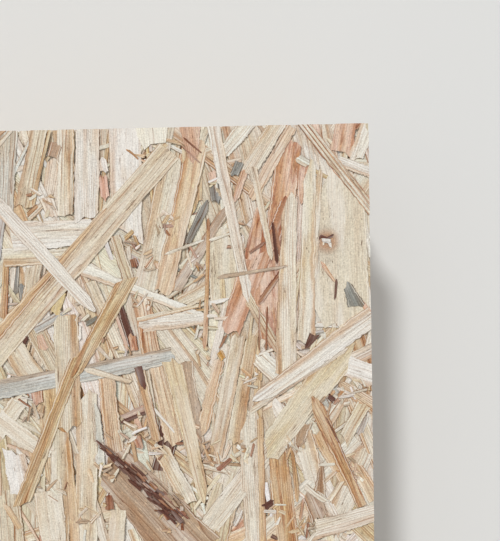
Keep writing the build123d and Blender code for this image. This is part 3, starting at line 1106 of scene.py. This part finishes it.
# Strands seen on their faces lie in layers, each turned its own way, and show through each other's
# gaps. A layer's cells are strands, so many millimetres wide and long.
FACE_LAYERS = (
    (4, 11.0, 95.0, 0.00),
    (-58, 9.0, 60.0, 0.45),
    (33, 10.0, 85.0, 0.42),
    (-27, 12.0, 90.0, 0.45),
    (12, 8.0, 100.0, 0.50),
    (-9, 14.0, 110.0, 0.55),
    (46, 6.0, 90.0, 0.66),
    (-38, 5.0, 90.0, 0.68),
)
BOARD_TONES = ("#F1EADF", "#EBDDC5", "#E2D0B3", "#EADBC4", "#DFC49A", "#EDE1CF", "#CFA27A", "#D8BFA2")
face_colour = None
for turn, width, length, bare in FACE_LAYERS:
    start = (7.0 * turn, 3.0 * turn, 0)
    turned = (0, 0, math.radians(turn))
    cell_at = add_node(board, "Mapping", in_mm, start, turned, (width, length, 1), vector_type="TEXTURE")
    cell = add_node(board, "TexVoronoi", cell_at, 1.0, voronoi_dimensions="2D")
    chance = add_node(board, "SeparateColor", cell.outputs["Color"])
    tone = add_node(board, "ValToRGB", chance.outputs["Red"])
    tone.color_ramp.interpolation = "CONSTANT"
    for index, hex_tone in enumerate(BOARD_TONES):
        if index > 1:
            tone.color_ramp.elements.new(index / len(BOARD_TONES))
        tone.color_ramp.elements[index].position = index / len(BOARD_TONES)
        tone.color_ramp.elements[index].color = (*linear(hex_tone), 1)
    fine = (width / 0.55, length / 13.0, 1)
    fibre_at = add_node(board, "VectorMath", cell_at, fine, operation="MULTIPLY")
    fibres = add_node(board, "TexNoise", fibre_at, 1.0, 3.0, 0.65, noise_dimensions="2D")
    fibre_light = add_node(board, "MapRange", fibres, 0.28, 0.72, 0.76, 1.1)
    toned = add_node(board, "VectorMath", tone, fibre_light, operation="SCALE")
    rim = add_node(board, "TexVoronoi", cell_at, 1.0, voronoi_dimensions="2D", feature="DISTANCE_TO_EDGE")
    rim_light = add_node(board, "MapRange", rim, 0.0, 0.05, 0.72, 1.0)
    edged = add_node(board, "VectorMath", toned, rim_light, operation="SCALE")
    shows = add_node(board, "Math", chance.outputs["Green"], bare, operation="GREATER_THAN")
    if face_colour is None:
        face_colour = edged
    else:
        face_colour = add_node(board, "Mix", shows, face_colour, edged, data_type="RGBA")

# Strands cut through: face layers lie lengthways and the core crossways, each strand 0.7 mm thick
layer_at = add_node(board, "Math", parts.outputs["Z"], ROW_HEIGHTS[-1], operation="DIVIDE")
layer_at = add_node(board, "Math", layer_at, operation="FRACT")
lengthways = add_node(board, "VectorMath", in_mm, (1 / 11.0, 1 / 60.0, 1 / 0.75), operation="MULTIPLY")
crossways = add_node(board, "VectorMath", in_mm, (1 / 60.0, 1 / 11.0, 1 / 0.75), operation="MULTIPLY")
core = add_node(board, "Math", layer_at, 0.5, 0.27, operation="COMPARE")
cut_at = add_node(board, "Mix", core, lengthways, crossways, data_type="VECTOR")
dip = add_node(board, "TexNoise", in_mm, 0.05, 2.0)
dip = add_node(board, "VectorMath", dip.outputs["Color"], (0.0, 0.0, 5.0), operation="MULTIPLY")
cut_at = add_node(board, "VectorMath", cut_at, dip, operation="ADD")
cut = add_node(board, "TexVoronoi", cut_at, 1.0)
cut_chance = add_node(board, "SeparateColor", cut.outputs["Color"])
cut_tone = add_node(board, "ValToRGB", cut_chance.outputs["Red"])
cut_tone.color_ramp.elements[0].color = (*linear("#B58A6A"), 1)
cut_tone.color_ramp.elements[1].color = (*linear("#F5ECDE"), 1)
for position, hex_tone in ((0.10, "#D2AE8A"), (0.32, "#E3CBAB"), (0.7, "#EDDFC9")):
    cut_tone.color_ramp.elements.new(position).color = (*linear(hex_tone), 1)
glue = add_node(board, "TexVoronoi", cut_at, 1.0, feature="DISTANCE_TO_EDGE")
glue_light = add_node(board, "MapRange", glue, 0.0, 0.12, 0.55, 1.0)
cut_colour = add_node(board, "VectorMath", cut_tone, glue_light, operation="SCALE")
# Painted voids: dark patches for small holes between the cut strands, dark with the shade inside them.
void_at = add_node(board, "VectorMath", in_mm, (1 / 7.0, 1 / 7.0, 1 / 1.1), operation="MULTIPLY")
void = add_node(board, "TexNoise", void_at, 1.0, 2.0)
void_shade_share = add_node(board, "MapRange", void, 0.66, 0.70, 0.0, 0.9)
void_and_recess_shade = (*linear("#4A3426"), 1)
cut_colour = add_node(board, "Mix", void_shade_share, cut_colour, void_and_recess_shade, data_type="RGBA")
# Painted shade: where a side's points lie deeper in, in voids, chips and the grooves along the arrises, the
# side is painted darker.
depth = add_node(board, "Attribute", attribute_name="depth")
recess_shade_share = add_node(board, "MapRange", depth.outputs["Fac"], 0.7, 1.6, 0.0, 0.8)
cut_colour = add_node(board, "Mix", recess_shade_share, cut_colour, void_and_recess_shade, data_type="RGBA")
saw_at = add_node(board, "VectorMath", in_mm, (1 / 0.9, 1 / 0.9, 1 / 14.0), operation="MULTIPLY")
saw = add_node(board, "TexNoise", saw_at, 1.0, 2.0)
saw_light = add_node(board, "MapRange", saw, 0.3, 0.7, 0.86, 1.08)
shade = add_node(board, "Attribute", attribute_name="shade")
saw_light = add_node(board, "Math", saw_light, shade.outputs["Fac"], operation="MULTIPLY")
sawn = add_node(board, "VectorMath", cut_colour, saw_light, operation="SCALE")

upright = add_node(board, "SeparateXYZ", add_node(board, "NewGeometry").outputs["Normal"])
flatness = add_node(board, "Math", upright.outputs["Z"], operation="ABSOLUTE")
is_face = add_node(board, "Math", flatness, 0.8, operation="GREATER_THAN")
board_colour = add_node(board, "Mix", is_face, sawn, face_colour, data_type="RGBA")
shader = board.node_tree.nodes["Principled BSDF"]
shader.inputs["IOR"].default_value = 1.5
shader.inputs["Specular IOR Level"].default_value = 0.3
shader.inputs["Roughness"].default_value = 0.8
board.node_tree.links.new(board_colour.outputs[2], shader.inputs["Base Color"])
board_height = add_node(board, "Math", saw, 0.5, glue_light, operation="MULTIPLY_ADD")
board_relief = add_node(board, "Bump", 0.7, 0.4 * MM, FILTER_WIDTH, board_height)
board.node_tree.links.new(board_relief.outputs[0], shader.inputs["Normal"])
for piece in panel_bodies:
    piece.data.materials.append(board)

# The floor, plain and pale, is open under the lowest panel, so that light reaches its underside
floor_shape = bmesh.new()
FLOOR_REACH = 12.0
LEDGE = 0.9
bmesh.ops.create_grid(floor_shape, x_segments=3, y_segments=3, size=FLOOR_REACH)
bottom_panel = PanelPlace("panel_1")
opening = np.array([[bottom_panel.width / 2 - LEDGE, bottom_panel.length / 2 - LEDGE, 0.0]])
for vertex in floor_shape.verts:
    if max(abs(vertex.co.x), abs(vertex.co.y)) < FLOOR_REACH / 2:
        vertex.co = bottom_panel.settle(opening * np.sign(vertex.co))[0]
middle_face = min(floor_shape.faces, key=lambda face: face.calc_center_median().length)
bmesh.ops.delete(floor_shape, geom=[middle_face], context="FACES_ONLY")
floor_mesh = bpy.data.meshes.new("floor")
floor_shape.to_mesh(floor_mesh)
floor_shape.free()
floor = bpy.data.objects.new("floor", floor_mesh)
bpy.context.scene.collection.objects.link(floor)
floor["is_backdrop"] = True
plaster = bpy.data.materials.new("pale_matt_plaster")
plaster.use_nodes = True
plaster.node_tree.nodes["Principled BSDF"].inputs["Base Color"].default_value = (*linear("#DEDEDC"), 1)
plaster.node_tree.nodes["Principled BSDF"].inputs["Roughness"].default_value = 0.9
floor_mesh.materials.append(plaster)

# The light: an even sky, and a soft sun from beyond the top edge and a little to the left
world = bpy.data.worlds.new("soft_sky")
bpy.context.scene.world = world
world.use_nodes = True
SKY_STRENGTH = 0.55
world.node_tree.nodes["Background"].inputs["Color"].default_value = (1, 1, 1, 1)
world.node_tree.nodes["Background"].inputs["Strength"].default_value = SKY_STRENGTH
seen = add_node(world, "Background", (*linear("#E3E3E1"), 1))
rays = add_node(world, "LightPath").outputs
direct = add_node(world, "Math", rays["Is Camera Ray"], rays["Is Glossy Ray"], operation="MAXIMUM")
direct = add_node(world, "Math", direct, rays["Is Transmission Ray"], operation="MAXIMUM")
sky = add_node(world, "MixShader", direct, world.node_tree.nodes["Background"], seen)
world.node_tree.links.new(sky.outputs[0], world.node_tree.nodes["World Output"].inputs["Surface"])
sun_light = bpy.data.lights.new("soft_sun", "SUN")
sun_light.energy = 2.0
sun_light.angle = math.radians(8)
sun = bpy.data.objects.new("soft_sun", sun_light)
SUN_FROM = Vector((-0.35, 0.75, 0.85))
sun.rotation_euler = SUN_FROM.to_track_quat("Z", "Y").to_euler()
bpy.context.scene.collection.objects.link(sun)

# The camera looks straight down on the far right corner of the top panel, from a quarter of a metre
CAMERA_LEFT = 60.15
CAMERA_DOWN = 64.3
CAMERA_HEIGHT = 250.0
CAMERA_TILT = math.radians(-1.74)
CAMERA_ROLL = math.radians(-1.24)
FILM_WIDTH = 36.0
FOCAL_LENGTH = 36.0
lens = bpy.data.cameras.new("camera")
lens.sensor_fit = "HORIZONTAL"
lens.sensor_width = FILM_WIDTH
lens.lens = FOCAL_LENGTH
lens.clip_start = 10 * MM
camera = bpy.data.objects.new("camera", lens)
across, along = from_corner((CAMERA_LEFT, CAMERA_DOWN))
camera.location = top_panel.settle(np.array([[across, along, top_panel.thickness + CAMERA_HEIGHT]]))[0]
camera.rotation_euler = (CAMERA_TILT, 0.0, CAMERA_ROLL)
bpy.context.scene.collection.objects.link(camera)
bpy.context.scene.camera = camera

bpy.context.scene.view_settings.view_transform = "Standard"

sizes = {
    "cad": [list(corner) for corner in cad_box],
    "visual": [list(corner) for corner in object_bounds()],
}
